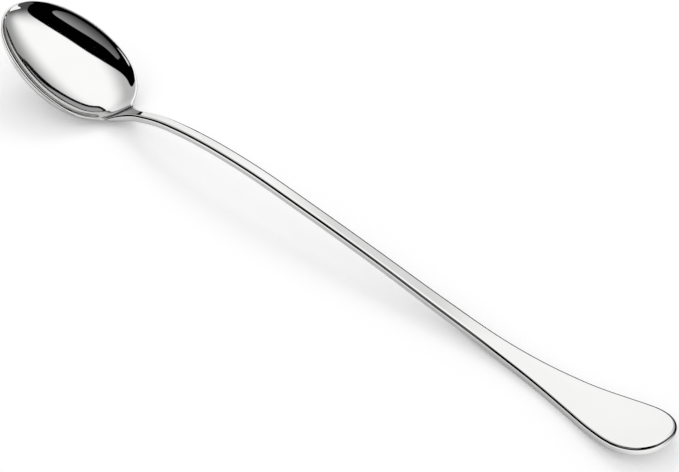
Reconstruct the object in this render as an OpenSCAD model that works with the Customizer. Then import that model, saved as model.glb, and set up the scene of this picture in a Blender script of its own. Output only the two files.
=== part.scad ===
// Iced tea spoon: a small egg-shaped bowl on a long slim handle that ends in a rounded paddle.
// The spoon lies at rest on the table, z = 0, with its bowl towards -X and its handle towards +X.
// Heights are taken above the table, and lengths along the table. Both halves mirror each other in Y.

/* [Spoon] */
// Length from the rim at the tip of the bowl to the end of the handle
spoon_length = 220.6; // [190:0.2:240]

/* [Bowl] */
// Length of the bowl from its tip to its heel
bowl_length = 42.4; // [36:0.2:50]
// Width of the bowl over its rim
bowl_width = 28.8; // [22:0.2:34]
// Depth of the hollow below the rim
bowl_depth = 5.4; // [4:0.1:7]
// Thickness of the metal at the bottom of the bowl
bowl_wall = 0.9; // [0.7:0.05:1.4]
// Height of the upright edge of the bowl at its tip
tip_rim_height = 2.5; // [1:0.05:3]
// Height of the upright edge of the bowl at its heel
heel_rim_height = 1.1; // [0.9:0.05:1.6]
// Width of the flat top of the rim, with its rounded edge
rim_width = 0.8; // [0.7:0.05:1.8]
// How much higher the tip lies than the heel
tip_rise = 15.5; // [12:0.2:17]
// How far the rim bows upwards between tip and heel
rim_bow = 0.95; // [0:0.05:1.5]

/* [Neck] */
// Width of the neck where the handle joins the bowl
neck_width = 3.4; // [2.8:0.1:4.4]
// Thickness of the neck
neck_thickness = 1.9; // [1.5:0.05:2.1]
// Length of the neck that belongs to the bowl
neck_length = 8.6; // [6:0.2:12]
// How much the valley between the rim and the neck is filled
heel_fill = 0.3; // [0:0.05:0.8]
// Width of each rounded shoulder between the rim and the neck
shoulder_width = 4.6; // [2:0.1:6]

/* [Handle] */
// Width of the shank at mid length
shank_width = 3.5; // [3:0.1:5]
// Width of the shank where it begins to flare
flare_start_width = 4; // [3.2:0.1:5]
// Thickness of the shank
shank_thickness = 2.05; // [1.6:0.05:2.6]
// Height of the arch of the handle
arch_height = 10.5; // [8:0.1:14]

/* [Paddle] */
// Width of the paddle
paddle_width = 16; // [12:0.1:20]
// Thickness of the paddle at its edge
paddle_thickness = 2; // [1.6:0.05:2.4]
// Depth of the shallow dish in the top of the paddle
paddle_dish = 0.35; // [0.1:0.05:0.6]
// Length of the flare from the shank to the widest place
flare_length = 54; // [40:1:70]
// Length of the rounded end beyond the widest place
end_length = 8.7; // [6:0.1:12]
// Distance from the end to where the paddle rests on the table
rest_distance = 24.6; // [18:0.2:32]
// How far the end turns up from the table
end_lift = 2.9; // [1.5:0.1:4]

/* [Edges] */
// Radius along the upper edges
top_edge_radius = 0.35; // [0.2:0.05:0.4]
// Radius along the lower edges
bottom_edge_radius = 0.45; // [0.2:0.05:0.5]

/* [Hidden] */

// Egg shape of the bowl: how far its widest place leans to the tip, and how far its ends draw in
egg_shares = [-0.143, -0.083];
// Fullness of the hollow: the depth falls off as (1 - share of the radius ^ fullness) ^ steepness
fullness_share = 2.3;
steepness_share = 0.8;
// Fullness of the rounded end of the paddle, where 2 is an ellipse
end_fullness_share = 2.28;
// Place of the top of the arch, as a share of the handle's length from the heel
arch_place_share = 0.244;
// Handles of the shoulder curve, as shares of the shoulder's width and of its length
shoulder_curve_shares = [0.36, 0.42];
// Breadth over which the neck's underside runs out sideways, as a share of the shoulder's width
heel_run_out_share = 1;
// Where along the bowl the neck's underside begins to run out towards the tip
keel_run_out_share = 0.6;
// Breadth of the soft meeting of the neck's underside with the bowl's, as a share of the rim's height there
heel_blend_share = 0.6;

// Side line of the handle from heel to arch: [share of the run, share of the climb]
climb_shares = [
    [0.05, 0.138], [0.117, 0.281], [0.182, 0.406], [0.267, 0.548], [0.391, 0.726], [0.591, 0.889],
    [0.844, 0.985]];
// Side line from the arch to the resting place: [share of the run, share of the drop]
drop_shares = [[0.078, 0.018], [0.259, 0.19], [0.459, 0.433], [0.66, 0.731], [0.84, 0.945]];
// Side line from the resting place to the end: [share of the run, share of the lift]
lift_shares = [[0.545, 0.31], [1, 1]];
// Outline of the flare: [share of its length, share of the widening]
flare_shares = [[0.288, 0.057], [0.535, 0.248], [0.74, 0.551], [0.9, 0.87]];
// Places of the neck's and the shank's widths, as shares of the run from the seat to the flare
shank_place_shares = [0, 0.45, 1];
// Where the rim's height is taken along the bowl
rim_place_shares = [0, 0.2, 0.4, 0.6, 0.8, 0.92];

// Where along the bowl its lean begins to fade towards the neck
lean_fade_share = 0.6;

// Facets: columns are counted along one half of an outline, and rings from the top centre to the bottom
rim_columns = 28;
shoulder_columns = 8;
seat_columns = 3;
hollow_rings = 12;
land_rings = 5;
edge_rings = 3;
under_rings = 12;
shank_columns = 40;
flare_columns = 18;
end_columns = 12;
face_rings = 3;

// Places along the spoon, measured from the tip of the bowl
heel_x = bowl_length;
seat_x = heel_x + neck_length;
arch_x = heel_x + arch_place_share * (spoon_length - heel_x);
widest_x = spoon_length - end_length;
flare_x = widest_x - flare_length;
rest_x = spoon_length - rest_distance;

// Value along a smooth curve through points [place, value, slope]. The slope may be left to the neighbours
function secant(p, i) = (p[i + 1][1] - p[i][1]) / (p[i + 1][0] - p[i][0]);
function slope_at(p, i) =
    len(p[i]) > 2 ? p[i][2]
    : i == 0 ? secant(p, 0)
    : i == len(p) - 1 ? secant(p, i - 1)
    : let (before = p[i][0] - p[i - 1][0], after = p[i + 1][0] - p[i][0])
        (secant(p, i - 1) * after + secant(p, i) * before) / (before + after);
function segment_of(p, x, i = 0) = i >= len(p) - 2 || x < p[i + 1][0] ? i : segment_of(p, x, i + 1);
function curve(p, x) =
    let (i = segment_of(p, x), run = p[i + 1][0] - p[i][0], t = (x - p[i][0]) / run,
         rise = p[i + 1][1] - p[i][1], a = slope_at(p, i) * run - rise, b = rise - slope_at(p, i + 1) * run)
    p[i][1] + t * rise + t * (1 - t) * ((1 - t) * a + t * b);

// Height of the rim above the heel
function rim_rise(share) = tip_rise * (1 - share) + 4 * rim_bow * share * (1 - share);
rim_knots = [for (s = rim_place_shares) [s * bowl_length, rim_rise(s)]];

// The outline of the bowl is a circle drawn out, evenly to the bowl's width and unevenly to its length:
// drawn gives the place on the circle for a place along the bowl, both from -1 at the tip to 1 at the heel
bowl_half_width = bowl_width / 2;
bowl_half_length = bowl_length / 2;
function drawn(t) = t + (egg_shares[0] + egg_shares[1] * t) * (1 - t * t);
function drawn_slope(t) = 1 + egg_shares[1] - 2 * egg_shares[0] * t - 3 * egg_shares[1] * t * t;
// The place along the bowl for a place on the circle, found in rounds that each come closer
closing_rounds = 24;
function undrawn(s, rounds = closing_rounds) =
    rounds < 1 ? s : let (t = undrawn(s, rounds - 1)) t + s - drawn(t);
middle_x = bowl_half_length * (1 + undrawn(0));

// How much of the full depth the hollow has at a share of its radius
function depth_share(radius) =
    pow(max(0, 1 - pow(min(1, radius), fullness_share)), steepness_share);
// Share of the bowl's radius at which a point lies, for a bowl smaller all round by inset
function radius_share(x, y, inset = 0) =
    norm([drawn((x - bowl_half_length) / (bowl_half_length - inset)), y / (bowl_half_width - inset)]);

// The upright edge gets lower from tip to heel
function rim_height(x) = tip_rim_height + (heel_rim_height - tip_rim_height) * x / heel_x;
function shell_depth(x, y) =
    rim_height(x) + (bowl_depth + bowl_wall - rim_height(x)) * depth_share(radius_share(x, y));

// The heel lies as high as the bowl's underside needs to rest on the table
height_steps = 200;
heel_height = max([for (i = [0:height_steps])
    let (x = heel_x * i / height_steps)
    shell_depth(x, 0) - curve(concat(rim_knots, [[heel_x, heel_fill]]), x)]);

climb = arch_height - heel_height;
drop = arch_height - paddle_thickness;
level = 0;
side_knots = concat(
    [for (p = rim_knots) [p[0], heel_height + p[1]]],
    [[heel_x, heel_height + heel_fill]],
    [for (s = climb_shares) [heel_x + s[0] * (arch_x - heel_x), heel_height + s[1] * climb]],
    [[arch_x, arch_height, level]],
    [for (s = drop_shares) [arch_x + s[0] * (rest_x - arch_x), arch_height - s[1] * drop]],
    [[rest_x, paddle_thickness, level]],
    [for (s = lift_shares) [rest_x + s[0] * rest_distance, paddle_thickness + s[1] * end_lift]]);
// Height of the top of the spoon along its middle, the hollow and the dish left out
function top_height(x) = curve(side_knots, x);

thickness_knots = [[0, neck_thickness], [seat_x, neck_thickness],
    [arch_x, shank_thickness], [flare_x, paddle_thickness, level],
    [rest_x, paddle_thickness, level], [spoon_length, paddle_thickness, level]];
// Thickness measured upright, so that a sloping stretch keeps its true thickness
slope_step_share = 0.03;
slope_step = slope_step_share * neck_length;
function upright_thickness(x) =
    let (slope = (top_height(x + slope_step) - top_height(x - slope_step)) / (2 * slope_step))
    curve(thickness_knots, x) * (x > rest_x ? 1 : norm([1, slope]));

shank_half_widths = [neck_width, shank_width, flare_start_width] / 2;
paddle_half_width = paddle_width / 2;
width_knots = concat(
    [for (i = [0:2]) [seat_x + shank_place_shares[i] * (flare_x - seat_x), shank_half_widths[i]]],
    [for (s = flare_shares)
        [flare_x + s[0] * flare_length,
            shank_half_widths[2] + s[1] * (paddle_half_width - shank_half_widths[2])]],
    [[widest_x, paddle_half_width, level]]);
function half_width(x) = curve(width_knots, x);
// The dish deepens as the flare widens
function dish_depth(x) = x < flare_x ? 0 : paddle_dish *
    (half_width(min(x, widest_x)) - shank_half_widths[2]) / (paddle_half_width - shank_half_widths[2]);

// Meeting of two heights in a soft valley or ridge of the given breadth, where the lower one counts
function soft_lower(a, b, breadth) =
    let (share = min(1, max(0, (breadth + b - a) / (2 * breadth))))
    b + (a - b) * share - breadth * share * (1 - share);

// Underside of the bowl and the neck
neck_half_width = neck_width / 2;
run_out = heel_run_out_share * shoulder_width;
keel_end_x = keel_run_out_share * bowl_length;
heel_blend = heel_blend_share * heel_rim_height;
function under_height(x, y) =
    let (shell = top_height(x) - shell_depth(x, y),
         aside = max(0, abs(y) - neck_half_width) / run_out,
         ahead = max(0, 1 - x / keel_end_x),
         keel = top_height(x) - upright_thickness(x) + tip_rim_height * (aside * aside + ahead * ahead))
    soft_lower(shell, keel, heel_blend);

// The bowl is pressed square to its tilted rim, so what lies below the rim leans towards the tip
lean = tip_rise / bowl_length;
lean_fade_x = lean_fade_share * bowl_length;
function lean_at(x) =
    let (s = min(1, max(0, (x - lean_fade_x) / (seat_x - lean_fade_x))))
    lean * (1 - s * s * (3 - 2 * s));
function leaning(p) = [p[0] - lean_at(p[0]) * (top_height(p[0]) - p[2]), p[1], p[2]];

// Half outline of the bowl from tip to seat: [outer point, inward direction, inner rim point]
quarter = 90;
function unit(v) = v / norm(v);
// Points of the rim lie at angles round the bowl, from half a turn at the tip to none at the heel
function rim_point(angle, inset = 0) =
    let (t = cos(angle), s = drawn(t))
    [bowl_half_length + (bowl_half_length - inset) * t, (bowl_half_width - inset) * sqrt(max(0, 1 - s * s))];
function rim_inward(angle) =
    let (t = cos(angle), s = drawn(t))
    -unit([s * drawn_slope(t) / bowl_half_length, sqrt(max(0, 1 - s * s)) / bowl_half_width]);
shoulder_y = neck_half_width + shoulder_width;
shoulder_angle = acos(undrawn(cos(asin(shoulder_y / bowl_half_width))));
shoulder_start = rim_point(shoulder_angle);
shoulder_inside = rim_inward(shoulder_angle);
shoulder_along = [-shoulder_inside[1], shoulder_inside[0]];
shoulder_end = [seat_x, neck_half_width];
shoulder_knots = [
    shoulder_start,
    shoulder_start + shoulder_along * shoulder_curve_shares[0] * shoulder_width,
    shoulder_end - [shoulder_curve_shares[1] * (shoulder_end[0] - shoulder_start[0]), 0],
    shoulder_end];
function shoulder_point(t) =
    let (k = shoulder_knots, s = 1 - t)
    s * s * s * k[0] + 3 * s * s * t * k[1] + 3 * s * t * t * k[2] + t * t * t * k[3];
function shoulder_inward(t) =
    let (k = shoulder_knots, s = 1 - t,
         d = unit(s * s * (k[1] - k[0]) + 2 * s * t * (k[2] - k[1]) + t * t * (k[3] - k[2])))
    [d[1], -d[0]];

heel_columns = shoulder_columns + seat_columns;
function heel_angle(i) = shoulder_angle * (1 - i / heel_columns);
bowl_half = concat(
    [for (i = [0:rim_columns]) let (a = 2 * quarter - (2 * quarter - shoulder_angle) * i / rim_columns)
        [rim_point(a), rim_inward(a), rim_point(a, rim_width)]],
    [for (i = [1:shoulder_columns]) let (t = i / shoulder_columns)
        [shoulder_point(t), shoulder_inward(t), rim_point(heel_angle(i), rim_width)]],
    [for (i = [1:seat_columns])
        [[seat_x, neck_half_width * (1 - i / seat_columns)], undef,
            rim_point(heel_angle(shoulder_columns + i), rim_width)]]);

// Closed outline from a half: the far half, then the near half back to the tip
function mirrored(p) = p == undef ? undef : [p[0], -p[1]];
function closed(half) = concat(half,
    [for (i = [len(half) - 2:-1:1]) [for (p = half[i]) mirrored(p)]]);

// One column of points down the bowl, from below the top centre round the edge to above the bottom centre
function above(p, z) = [p[0], p[1], z];
function edge_column(p, inward, top, bottom) =
    concat(
        [for (i = [1:edge_rings]) let (a = quarter * i / edge_rings)
            above(p + inward * top_edge_radius * (1 - sin(a)), top - top_edge_radius * (1 - cos(a)))],
        [for (i = [0:edge_rings - 1]) let (a = quarter * i / edge_rings)
            above(p + inward * bottom_edge_radius * (1 - cos(a)),
                bottom + bottom_edge_radius * (1 - sin(a)))]);
function bowl_column(c) =
    let (p = c[0], inward = c[1] == undef ? [0, 0] : c[1], inner = c[2], centre = [middle_x, 0],
         top_edge = p + inward * top_edge_radius, low_edge = p + inward * bottom_edge_radius)
    concat(
        [for (i = [1:hollow_rings])
            let (r = sin(quarter * i / hollow_rings), q = centre + (inner - centre) * r)
            above(q, top_height(q[0]) - bowl_depth * depth_share(radius_share(q[0], q[1], rim_width)))],
        [for (i = [1:land_rings]) let (q = inner + (top_edge - inner) * i / land_rings)
            above(q, top_height(q[0]))],
        edge_column(p, inward, top_height(p[0]), under_height(p[0], p[1])),
        [for (i = [0:under_rings - 1])
            let (r = cos(quarter * i / under_rings), q = centre + (low_edge - centre) * r)
            above(q, under_height(q[0], q[1]))]);

// The part is centred over its whole length, with what leans out beyond the rim at the tip
tip_overhang = -min([for (p = bowl_column(bowl_half[0])) leaning(p)[0]]);
centre_x = (spoon_length - tip_overhang) / 2;

// Faces between neighbouring columns of points, with those of no area left out
function sound(faces) = [for (f = faces) if (f[0] != f[1] && f[1] != f[2] && f[2] != f[0]) f];
function pair_faces(a, b, c, d) = [[a, c, b], [a, d, c]];

module bowl() {
    columns = closed(bowl_half);
    count = len(columns);
    rings = hollow_rings + land_rings + 2 * edge_rings + under_rings;
    // Rings of the edge lie between the top edge and the low edge, and the flat seat takes their place
    top_ring = hollow_rings + land_rings - 1;
    low_ring = top_ring + 2 * edge_rings + 1;
    seat_first = rim_columns + shoulder_columns;
    seat_last = seat_first + 2 * seat_columns;
    centre = [middle_x, 0];
    upright_points = concat(
        [above(centre, top_height(middle_x) - bowl_depth), above(centre, under_height(middle_x, 0))],
        [for (c = columns) each bowl_column(c)]);
    points = [for (p = upright_points) leaning(p)];
    function at(j, k) = 2 + (j % count) * rings + k;
    function on_seat(j) = j >= seat_first && j < seat_last;
    skin = [for (j = [0:count - 1], k = [0:rings - 2])
        if (!on_seat(j) || k < top_ring || k >= low_ring)
            each pair_faces(at(j, k), at(j + 1, k), at(j + 1, k + 1), at(j, k + 1))];
    top_fan = [for (j = [0:count - 1]) [0, at(j, 0), at(j + 1, 0)]];
    low_fan = [for (j = [0:count - 1]) [1, at(j + 1, rings - 1), at(j, rings - 1)]];
    seat = concat(
        [for (j = [seat_first:seat_last - 1])
            each pair_faces(at(j, top_ring), at(j + 1, top_ring), at(j + 1, low_ring), at(j, low_ring))],
        [for (k = [top_ring + 1:low_ring - 1])
            each [[at(seat_first, low_ring), at(seat_first, k - 1), at(seat_first, k)],
                [at(seat_last, low_ring), at(seat_last, k), at(seat_last, k - 1)]]]);
    color("gainsboro")
        translate([-centre_x, 0, 0])
        polyhedron(points, concat(skin, top_fan, low_fan, seat), convexity = 6);
}

// Half outline of the handle from seat to end: [outer point, inward direction, point on the middle line]
function side_inward(x) =
    let (d = unit([2 * slope_step, half_width(min(x + slope_step, widest_x)) - half_width(x - slope_step)]))
    [d[1], -d[0]];
function end_point(a) = [
    widest_x + end_length * pow(sin(a), 2 / end_fullness_share),
    paddle_half_width * pow(cos(a), 2 / end_fullness_share)];
function end_inward(a) = -unit([
    pow(sin(a), 2 - 2 / end_fullness_share) / end_length,
    pow(cos(a), 2 - 2 / end_fullness_share) / paddle_half_width]);
handle_half = concat(
    [for (i = [0:shank_columns - 1]) let (x = seat_x + (flare_x - seat_x) * i / shank_columns)
        [[x, half_width(x)], i == 0 ? [0, -1] : side_inward(x), [x, 0]]],
    [for (i = [0:flare_columns - 1]) let (x = flare_x + flare_length * i / flare_columns)
        [[x, half_width(x)], side_inward(x), [x, 0]]],
    [for (i = [0:end_columns]) let (a = quarter * i / end_columns)
        [end_point(a), end_inward(a), [widest_x, 0]]]);

function handle_column(c) =
    let (p = c[0], inward = c[1], spine = c[2],
         top_edge = p + inward * top_edge_radius, low_edge = p + inward * bottom_edge_radius)
    concat(
        [for (i = [1:face_rings]) let (s = i / face_rings, q = spine + (top_edge - spine) * s)
            above(q, top_height(q[0]) - dish_depth(q[0]) * (1 - s * s))],
        edge_column(p, inward, top_height(p[0]), top_height(p[0]) - upright_thickness(p[0])),
        [for (i = [face_rings:-1:1]) let (q = spine + (low_edge - spine) * i / face_rings)
            above(q, top_height(q[0]) - upright_thickness(q[0]))]);

module handle() {
    columns = concat(handle_half,
        [for (i = [len(handle_half) - 2:-1:0]) [for (p = handle_half[i]) mirrored(p)]]);
    count = len(columns);
    rings = 2 * face_rings + 2 * edge_rings;
    // Points on the middle line are shared by both halves, and the rounded end shares the last of them
    spine_last = shank_columns + flare_columns;
    spine_points = spine_last + 1;
    function spine_of(j) = min(j, count - 1 - j, spine_last);
    points = concat(
        [for (j = [0:spine_last]) let (x = handle_half[j][2][0]) [x, 0, top_height(x) - dish_depth(x)]],
        [for (j = [0:spine_last]) let (x = handle_half[j][2][0])
            [x, 0, top_height(x) - upright_thickness(x)]],
        [for (c = columns) each handle_column(c)]);
    function at(j, k) = 2 * spine_points + j * rings + k;
    skin = [for (j = [0:count - 2], k = [0:rings - 2])
        each pair_faces(at(j, k), at(j + 1, k), at(j + 1, k + 1), at(j, k + 1))];
    top = [for (j = [0:count - 2])
        each pair_faces(spine_of(j), spine_of(j + 1), at(j + 1, 0), at(j, 0))];
    low = [for (j = [0:count - 2])
        each pair_faces(at(j, rings - 1), at(j + 1, rings - 1),
            spine_points + spine_of(j + 1), spine_points + spine_of(j))];
    // The seat is a strip between the upper and the lower face, closed by a fan at each rounded side
    upper = [spine_of(0), for (i = [0:face_rings - 1]) at(0, i)];
    lower = [spine_points + spine_of(0), for (i = [1:face_rings]) at(0, rings - i)];
    other = (count - 1) * rings;
    function across(i) = i < 2 * spine_points ? i : i + other;
    seat = concat(
        [for (i = [0:face_rings - 1]) each concat(
            pair_faces(upper[i], upper[i + 1], lower[i + 1], lower[i]),
            pair_faces(across(upper[i]), across(lower[i]), across(lower[i + 1]), across(upper[i + 1])))],
        [for (k = [face_rings:rings - face_rings - 1])
            each [[lower[face_rings], at(0, k), at(0, k - 1)],
                [across(lower[face_rings]), across(at(0, k - 1)), across(at(0, k))]]]);
    color("gainsboro")
        translate([-centre_x, 0, 0])
        polyhedron(points, concat(sound(concat(skin, top, low)), seat), convexity = 6);
}

bowl();
handle();
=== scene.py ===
"""Iced tea spoon: mirror-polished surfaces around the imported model, and the studio that it lies in."""

import logging
import math
from dataclasses import dataclass, field
from enum import Enum
from typing import Optional, Sequence, Union

import bpy
import numpy as np
from mathutils import Matrix, Vector

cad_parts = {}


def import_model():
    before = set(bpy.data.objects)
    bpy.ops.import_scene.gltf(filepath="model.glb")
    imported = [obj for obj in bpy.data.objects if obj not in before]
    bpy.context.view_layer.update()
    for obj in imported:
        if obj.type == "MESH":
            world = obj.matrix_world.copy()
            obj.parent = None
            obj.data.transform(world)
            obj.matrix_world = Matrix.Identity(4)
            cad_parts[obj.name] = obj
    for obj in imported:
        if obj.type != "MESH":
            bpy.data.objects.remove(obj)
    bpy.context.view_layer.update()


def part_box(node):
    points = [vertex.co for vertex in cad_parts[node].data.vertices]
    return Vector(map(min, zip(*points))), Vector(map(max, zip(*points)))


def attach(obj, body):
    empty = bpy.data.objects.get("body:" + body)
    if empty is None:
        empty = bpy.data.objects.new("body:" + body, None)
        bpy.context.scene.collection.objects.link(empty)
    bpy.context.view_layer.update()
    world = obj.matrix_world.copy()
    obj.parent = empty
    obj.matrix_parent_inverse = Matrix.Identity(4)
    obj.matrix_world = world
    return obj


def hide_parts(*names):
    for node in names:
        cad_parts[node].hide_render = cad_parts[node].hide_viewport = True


LOG = logging.getLogger("spoon")
METRES = 0.001
PHOTO_WIDTH = 679
WHITE = (1.0, 1.0, 1.0, 1.0)
QUARTER_TURN = math.pi / 2
Places = Union[float, np.ndarray]


class Signal:
    """A shader socket that can be used in sums, with Math nodes added as they are needed."""

    def __init__(self, kit: "NodeKit", socket: bpy.types.NodeSocket) -> None:
        """Wraps the socket that carries the value, with the maker of nodes for its tree."""
        self.kit = kit
        self.socket = socket

    def _sum(self, operation: str, first: "Value", second: "Value") -> "Signal":
        """Adds one Math node for two values."""
        return self.kit.node("ShaderNodeMath", {"operation": operation}, {0: first, 1: second})

    def __add__(self, other: "Value") -> "Signal":
        """Gives this value plus another."""
        return self._sum("ADD", self, other)

    def __radd__(self, other: "Value") -> "Signal":
        """Gives another value plus this one."""
        return self._sum("ADD", other, self)

    def __rsub__(self, other: "Value") -> "Signal":
        """Gives another value less this one."""
        return self._sum("SUBTRACT", other, self)

    def __mul__(self, other: "Value") -> "Signal":
        """Gives this value times another."""
        return self._sum("MULTIPLY", self, other)

    def __rmul__(self, other: "Value") -> "Signal":
        """Gives another value times this one."""
        return self._sum("MULTIPLY", other, self)

    def highest(self, other: "Value") -> "Signal":
        """Gives the greater of this value and another."""
        return self._sum("MAXIMUM", self, other)

    def lowest(self, other: "Value") -> "Signal":
        """Gives the lesser of this value and another."""
        return self._sum("MINIMUM", self, other)


Value = Union[float, Sequence[float], Signal]


class NodeKit:
    """Makes the nodes of one material or world."""

    def __init__(self, tree: bpy.types.NodeTree) -> None:
        """Empties the node tree, to be filled anew."""
        self.tree = tree
        tree.nodes.clear()

    def node(self, kind: str, settings: Optional[dict] = None, inputs: Optional[dict] = None,
             output: Union[int, str] = 0) -> Signal:
        """Adds a node.

        Args:
            kind: Blender's name for the type of node.
            settings: Properties of the node, set before its sockets.
            inputs: A value or a Signal for each input socket, by name or number.
            output: The output socket that is wanted.

        Returns:
            The output socket as a Signal, or the input of a node that ends the tree.
        """
        made = self.tree.nodes.new(kind)
        for name, value in (settings or {}).items():
            setattr(made, name, value)
        for name, value in (inputs or {}).items():
            if isinstance(value, Signal):
                self.tree.links.new(value.socket, made.inputs[name])
            else:
                made.inputs[name].default_value = value
        sockets = made.outputs if len(made.outputs) else made.inputs
        return Signal(self, sockets[output])


def smooth_step(share: Places) -> Places:
    """Gives a share held between 0 and 1 and eased at both ends: three of its square less two of its cube."""
    held = np.clip(share, 0, 1)
    return held * held * (3 - 2 * held)


def shares(count: int) -> np.ndarray:
    """Gives even shares of a way, from one part of it up to the whole."""
    return np.arange(1, count + 1) / count


def cubic(a: np.ndarray, b: np.ndarray, c: np.ndarray, d: np.ndarray, t: np.ndarray) -> np.ndarray:
    """Gives a cubic from b to c at t from 0 to 1, whose slope at each is half the step between its neighbours."""
    return b + t * ((c - a) / 2 + t * (a - 2.5 * b + 2 * c - d / 2 + t * ((d - a) / 2 + 1.5 * (b - c))))


def between(start: np.ndarray, end: np.ndarray, parts: np.ndarray) -> np.ndarray:
    """Gives the places at parts of the straight way from each start to its end, one row for each pair."""
    return start[:, None, :] + (end - start)[:, None, :] * parts[None, :, None]


def raised(plan: np.ndarray, height: np.ndarray) -> np.ndarray:
    """Gives points from their places in plan and their heights."""
    return np.concatenate([plan, height[..., None]], -1)


def mirrored(columns: np.ndarray) -> np.ndarray:
    """Gives columns of points on the other side of the middle line, y turned to less y, in the reverse order."""
    return columns[::-1] * np.array([1, -1, 1])


def squares(number: np.ndarray, following: np.ndarray) -> np.ndarray:
    """Gives the four-sided faces between each column of point numbers and the column that follows it."""
    return np.stack([number[:, :-1], number[:, 1:], following[:, 1:], following[:, :-1]], -1)


def fan(hub: int, first: np.ndarray, second: np.ndarray) -> list:
    """Gives the three-sided faces from one hub to each pair of neighbours."""
    return np.stack([np.full_like(first, hub), first, second], -1).tolist()


def oval_quarter(length: float, width: float, fullness: float, turn: np.ndarray) -> np.ndarray:
    """Gives a quarter of a full oval: its lengths times the sine and the cosine, each to the power 2/fullness.

    Args:
        length: The oval's half length, reached at a quarter turn.
        width: The oval's half width, reached at no turn.
        fullness: 2 for an ellipse, and more for a squarer end.
        turn: The angles, from nought to a quarter turn.

    Returns:
        The places in plan, one row for each angle.
    """
    sine, cosine = np.maximum(0, np.sin(turn)), np.maximum(0, np.cos(turn))
    cosine[-1] = 0
    return np.stack([length * sine ** (2 / fullness), width * cosine ** (2 / fullness)], -1)


def put_in_scene(name: str, data: bpy.types.ID) -> bpy.types.Object:
    """Makes an object and links it to the scene.

    Args:
        name: The name of the object.
        data: Its mesh, lamp or camera.

    Returns:
        The new object.
    """
    thing = bpy.data.objects.new(name, data)
    bpy.context.scene.collection.objects.link(thing)
    return thing


def new_mesh(name: str, points: np.ndarray, faces: list) -> bpy.types.Mesh:
    """Makes a mesh.

    Args:
        name: The name of the mesh.
        points: Its points, in metres in the frame.
        faces: Its faces as lists of point numbers.

    Returns:
        The mesh.
    """
    mesh = bpy.data.meshes.new(name)
    mesh.from_pydata(points.tolist(), [], faces)
    return mesh


class SmoothLine:
    """A curve through points, evened out so that its curvature has no jumps, as a mirror finish needs.

    The run past each end and the reach of the bell are in widths of the bell.
    """

    SAMPLES_IN_WIDTH = 24
    RUN_PAST_END = 5.0
    BELL_REACH = 3.5

    def __init__(self, knots: Sequence[Sequence[float]], evening: float = 1.2) -> None:
        """Samples the curve finely and evens it out.

        Between two points the curve is a cubic whose slope at a point is the mean of the slopes beside it,
        weighted by the other side's length, or the slope that the point gives. Each sample is then the mean
        of its neighbours under a bell of the width "evening".

        Args:
            knots: Place, value and, where it is fixed, slope of each point.
            evening: The width of the bell.
        """
        places = np.array([k[0] for k in knots], float)
        values = np.array([k[1] for k in knots], float)
        run = np.diff(places)
        secant = np.diff(values) / run
        slopes = np.empty(len(knots))
        slopes[0], slopes[-1] = secant[0], secant[-1]
        slopes[1:-1] = (secant[:-1] * run[1:] + secant[1:] * run[:-1]) / (run[1:] + run[:-1])
        slopes = np.array([k[2] if len(k) > 2 else m for k, m in zip(knots, slopes)])
        past = self.RUN_PAST_END * evening
        self.step = evening / self.SAMPLES_IN_WIDTH
        self.first = places[0] - past
        fine = np.arange(self.first, places[-1] + past, self.step)
        held = np.clip(fine, places[0], places[-1])
        i = np.clip(np.searchsorted(places, held, side="right") - 1, 0, len(places) - 2)
        t = (held - places[i]) / run[i]
        rise = values[i + 1] - values[i]
        early = slopes[i] * run[i] - rise
        late = rise - slopes[i + 1] * run[i]
        curve = values[i] + t * rise + t * (1 - t) * ((1 - t) * early + t * late)
        curve += np.where(fine > held, slopes[-1], slopes[0]) * (fine - held)
        reach = round(self.BELL_REACH * evening / self.step)
        bell = np.exp(-(np.arange(-reach, reach + 1) * self.step / evening) ** 2 / 2)
        padded = np.pad(curve, reach, mode="reflect", reflect_type="odd")
        self.samples = np.convolve(padded, bell / bell.sum(), mode="valid")

    def __call__(self, place: Places) -> Places:
        """Gives the value of the curve: a cubic through the four samples round each place.

        Args:
            place: Where the value is wanted.

        Returns:
            The values, in the shape of the argument.
        """
        spot = np.clip((np.asarray(place, float) - self.first) / self.step, 1, len(self.samples) - 3)
        i = np.floor(spot).astype(int)
        return cubic(*(self.samples[i + k] for k in (-1, 0, 1, 2)), spot - i)


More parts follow.
